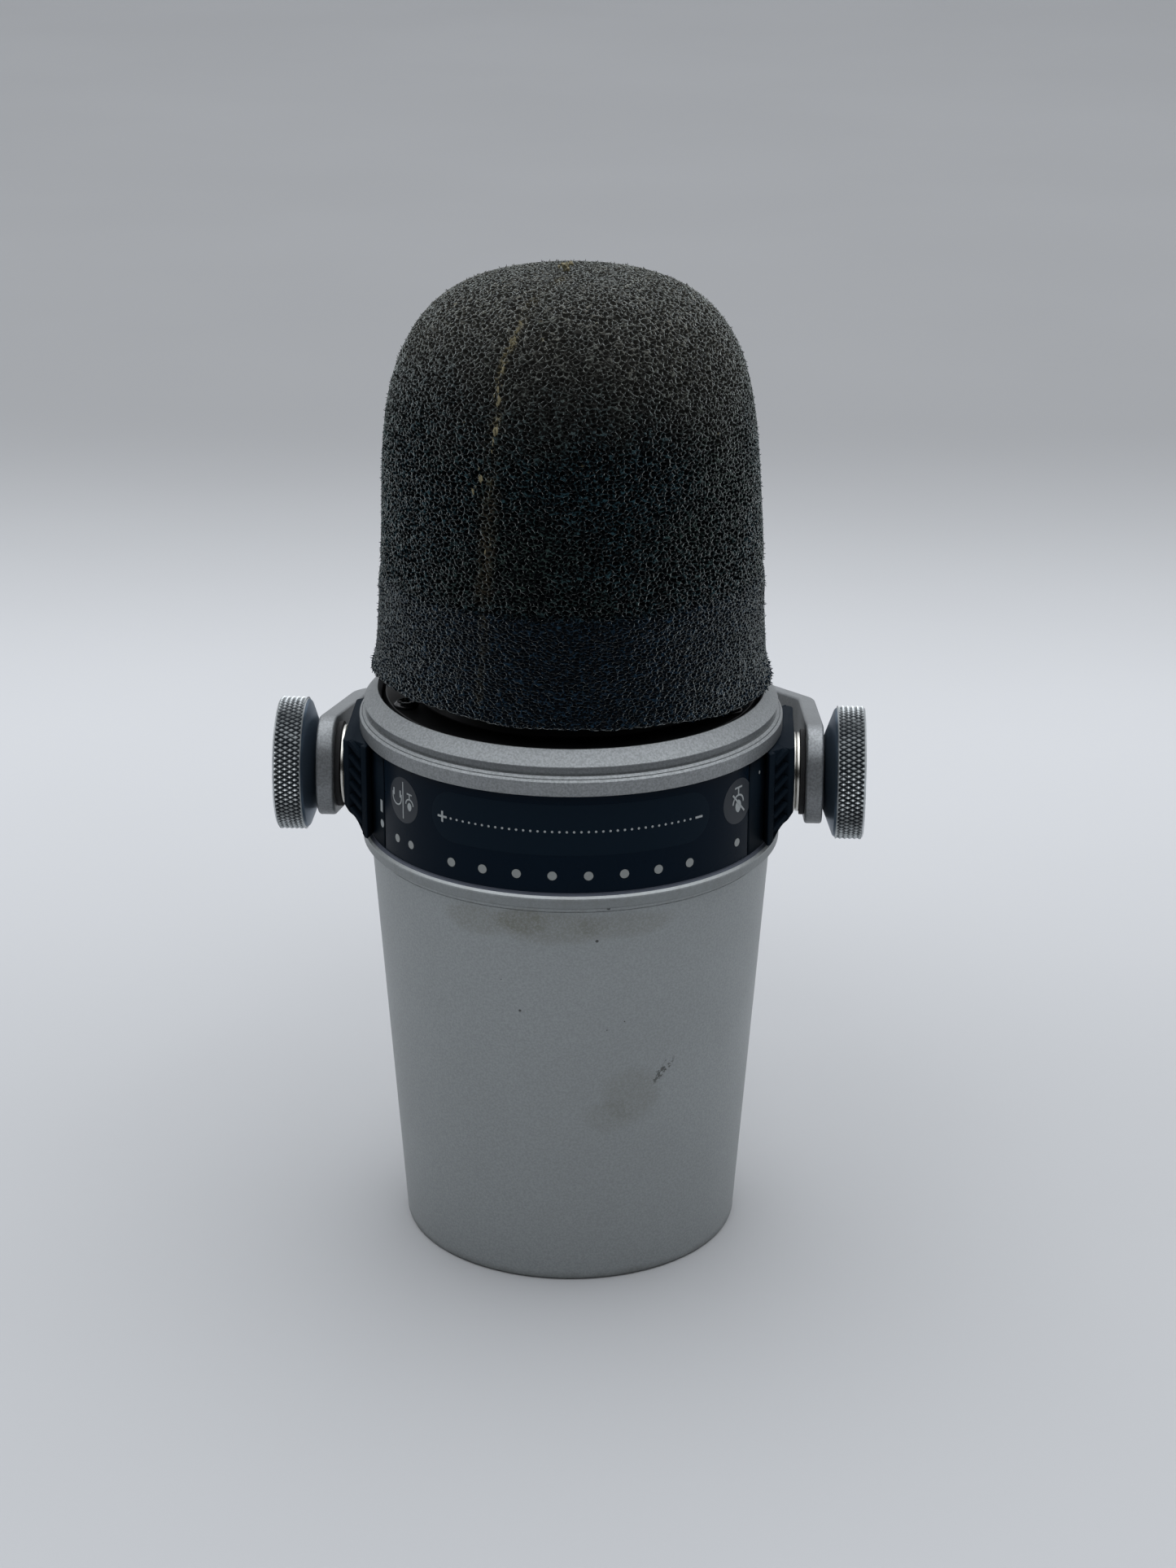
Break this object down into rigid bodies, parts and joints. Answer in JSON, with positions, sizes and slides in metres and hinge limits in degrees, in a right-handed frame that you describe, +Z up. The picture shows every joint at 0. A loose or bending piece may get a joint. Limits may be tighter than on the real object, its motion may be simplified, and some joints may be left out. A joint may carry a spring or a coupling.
{
  "type": "broadcast microphone with foam windscreen",
  "caption": "Stand-mounted end-address microphone with a tapered metal body, slip-on foam windscreen, touch control band and swivelling yoke.",
  "frame": {"origin": "middle of the footprint on the surface that the tail rim stands on", "axes": "+Z up through the windscreen, -Y the side with the controls, +Y towards the yoke's stand thread, X along the yoke's pivots"},
  "size_m": [0.0902, 0.1186, 0.1524],
  "materials": {
    "silver_paint": "bead-blasted satin silver",
    "black_plastic": "moulded satin black",
    "touch_panel": "smooth dark touch panel with printed marks",
    "dark_metal": "dark satin",
    "bright_steel": "bright nickel",
    "plated_zinc": "satin plated, knurled rim",
    "brass": "turned brass",
    "open_cell_foam": "charcoal open-cell foam",
    "rubber": "matt black rubber",
    "circuit_board": "green solder mask",
    "clear_plastic": "frosted clear",
    "grille_metal": "black perforated steel"
  },
  "bodies": {
    "microphone": {"tail_shell": "silver_paint", "tail_panel": "black_plastic", "tail_screw_1": "bright_steel", "tail_screw_2": "bright_steel", "tail_screw_3": "bright_steel", "xlr_shell": "black_plastic", "xlr_insert": "black_plastic", "xlr_pin_1": "bright_steel", "xlr_pin_2": "bright_steel", "xlr_pin_3": "bright_steel", "usb_socket": "bright_steel", "usb_tongue": "black_plastic", "headphone_jack": "bright_steel", "inner_chassis": "dark_metal", "main_board": "circuit_board", "processor_shield": "bright_steel", "transformer": "dark_metal", "shock_mount_lower": "rubber", "shock_mount_upper": "rubber", "capsule_housing": "dark_metal", "magnet": "bright_steel", "voice_coil": "brass", "diaphragm": "clear_plastic", "capsule_cap": "dark_metal", "seat_ring": "dark_metal", "control_housing": "black_plastic", "touch_lens": "touch_panel", "touch_sensor": "circuit_board", "light_guide": "clear_plastic", "bracket_right": "black_plastic", "pivot_insert_right": "brass", "washer_right": "bright_steel", "friction_pad_right": "rubber", "bracket_left": "black_plastic", "pivot_insert_left": "brass", "washer_left": "bright_steel", "friction_pad_left": "rubber", "bezel_ring": "silver_paint", "grille_collar": "black_plastic", "grille_basket": "grille_metal", "grille_screw_1": "bright_steel", "grille_screw_2": "bright_steel", "grille_screw_3": "bright_steel", "grille_screw_4": "bright_steel", "pop_liner": "open_cell_foam"},
    "yoke": {"yoke_strap": "silver_paint", "stand_boss": "plated_zinc", "thread_adapter": "brass"},
    "knob_left": {"knob_left": "plated_zinc", "stud_left": "bright_steel"},
    "knob_right": {"knob_right": "plated_zinc", "stud_right": "bright_steel"},
    "windscreen": {"foam_windscreen": "open_cell_foam"}
  },
  "joints": [
    {"name": "yoke_swing", "type": "hinge", "parent": "microphone", "child": "yoke", "pos_m": [0, -0.0269, 0.07513], "axis": [-1, 0, 0], "range_deg": [-104, 76]},
    {"name": "knob_left_turn", "type": "hinge", "parent": "microphone", "child": "knob_left", "pos_m": [-0.0396, -0.0269, 0.07513], "axis": [-1, 0, 0], "range_deg": [0, 450]},
    {"name": "knob_right_turn", "type": "hinge", "parent": "microphone", "child": "knob_right", "pos_m": [0.0396, -0.0269, 0.07513], "axis": [1, 0, 0], "range_deg": [0, 450]},
    {"name": "windscreen_lift", "type": "slide", "parent": "microphone", "child": "windscreen", "axis": [0, 0, 1], "range_m": [0, 0.078]}
  ]
}
